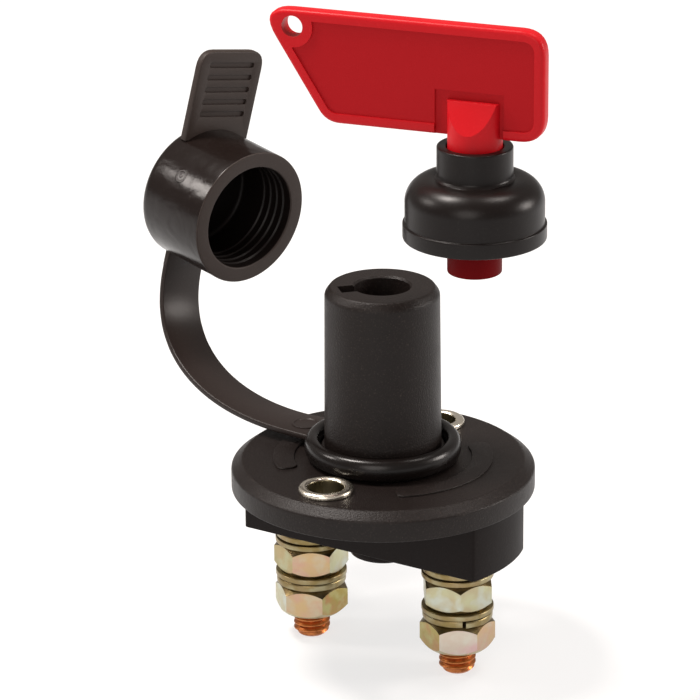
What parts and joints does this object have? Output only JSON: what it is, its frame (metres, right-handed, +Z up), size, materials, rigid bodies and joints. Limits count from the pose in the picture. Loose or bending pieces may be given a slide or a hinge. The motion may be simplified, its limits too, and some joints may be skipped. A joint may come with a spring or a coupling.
{
  "type": "battery switch",
  "caption": "Splash-proof battery isolator: round flanged body with a keyed barrel, threaded terminal studs below, tethered rubber dust cap and a removable flag key in a rubber boot.",
  "frame": {"origin": "centre of the flange's top face on the barrel's axis, halfway between the two fixing eyelets", "axes": "+Z up the barrel, X along the line of the two terminal studs, Y along the line of the two fixing eyelets"},
  "size_m": [0.132, 0.0824, 0.1778],
  "materials": {
    "black_nylon": "moulded glass-filled nylon with a fine satin grain",
    "black_rubber": "soft moulded rubber, low gloss",
    "red_plastic": "moulded red plastic, satin gloss",
    "copper": "bare copper",
    "zinc_nut_warm": "yellow zinc plate with a pink tint",
    "zinc_nut_olive": "yellow zinc plate with an olive tint",
    "zinc_washer": "yellow zinc plate",
    "spring_steel": "spring steel",
    "nickel": "bright nickel plate",
    "steel": "zinc plated steel",
    "gasket": "soft sheet rubber",
    "white_nylon": "natural nylon"
  },
  "bodies": {
    "switch_body": {"upper_housing": "black_nylon", "terminal_block": "black_nylon", "block_gasket": "gasket", "housing_screws": "steel", "eyelet_front": "nickel", "eyelet_rear": "nickel", "stud_left": "copper", "stud_right": "copper", "clamp_nut_left": "zinc_nut_warm", "clamp_nut_right": "zinc_nut_olive", "terminal_nut_left": "zinc_nut_warm", "terminal_nut_right": "zinc_nut_olive", "base_washers": "zinc_washer", "clamp_spring_washers": "zinc_washer", "clamp_washers": "zinc_washer", "terminal_washers": "zinc_washer", "terminal_spring_washers": "zinc_washer", "return_spring": "spring_steel"},
    "rotor": {"rotor": "white_nylon", "rotor_seal": "gasket"},
    "contact_carriage": {"pusher": "white_nylon", "contact_bridge": "copper", "retaining_clip": "spring_steel", "contact_spring": "spring_steel"},
    "tether": {"tether_collar": "black_rubber", "tether_strap": "black_rubber"},
    "dust_cap": {"dust_cap": "black_rubber"},
    "boot": {"key_boot": "black_rubber"},
    "key": {"key": "red_plastic"}
  },
  "joints": [
    {"name": "rotor_turn", "type": "hinge", "parent": "switch_body", "child": "rotor", "pos_m": [0, 0, 0.01], "axis": [0, 0, 1], "range_deg": [0, 90]},
    {"name": "contact_travel", "type": "slide", "parent": "switch_body", "child": "contact_carriage", "axis": [0, 0, -1], "range_m": [0, 0.003], "deforming": ["return_spring"]},
    {"name": "collar_swivel", "type": "hinge", "parent": "switch_body", "child": "tether", "pos_m": [0, 0, 0.003], "axis": [0, 0, 1], "range_deg": [-90, 90]},
    {"name": "cap_swing", "type": "hinge", "parent": "tether", "child": "dust_cap", "pos_m": [-0.06, 0.0095, 0.01], "axis": [0.3907, 0.9205, 0], "range_deg": [-25, 10], "deforming": ["tether_strap"]},
    {"name": "key_approach", "type": "slide", "parent": "switch_body", "child": "boot", "axis": [-0.9091, 0.2482, -0.3346], "range_m": [0, 0.03586]},
    {"name": "key_turn", "type": "hinge", "parent": "boot", "child": "key", "pos_m": [0.0326, -0.0089, 0.0685], "axis": [0, 0, 1], "range_deg": [0, 90]}
  ],
  "couplings": [
    {"joint": "contact_travel", "follows": "rotor_turn", "m_per_rad": 0.0019098},
    {"joint": "key_turn", "follows": "rotor_turn", "ratio": 1}
  ]
}
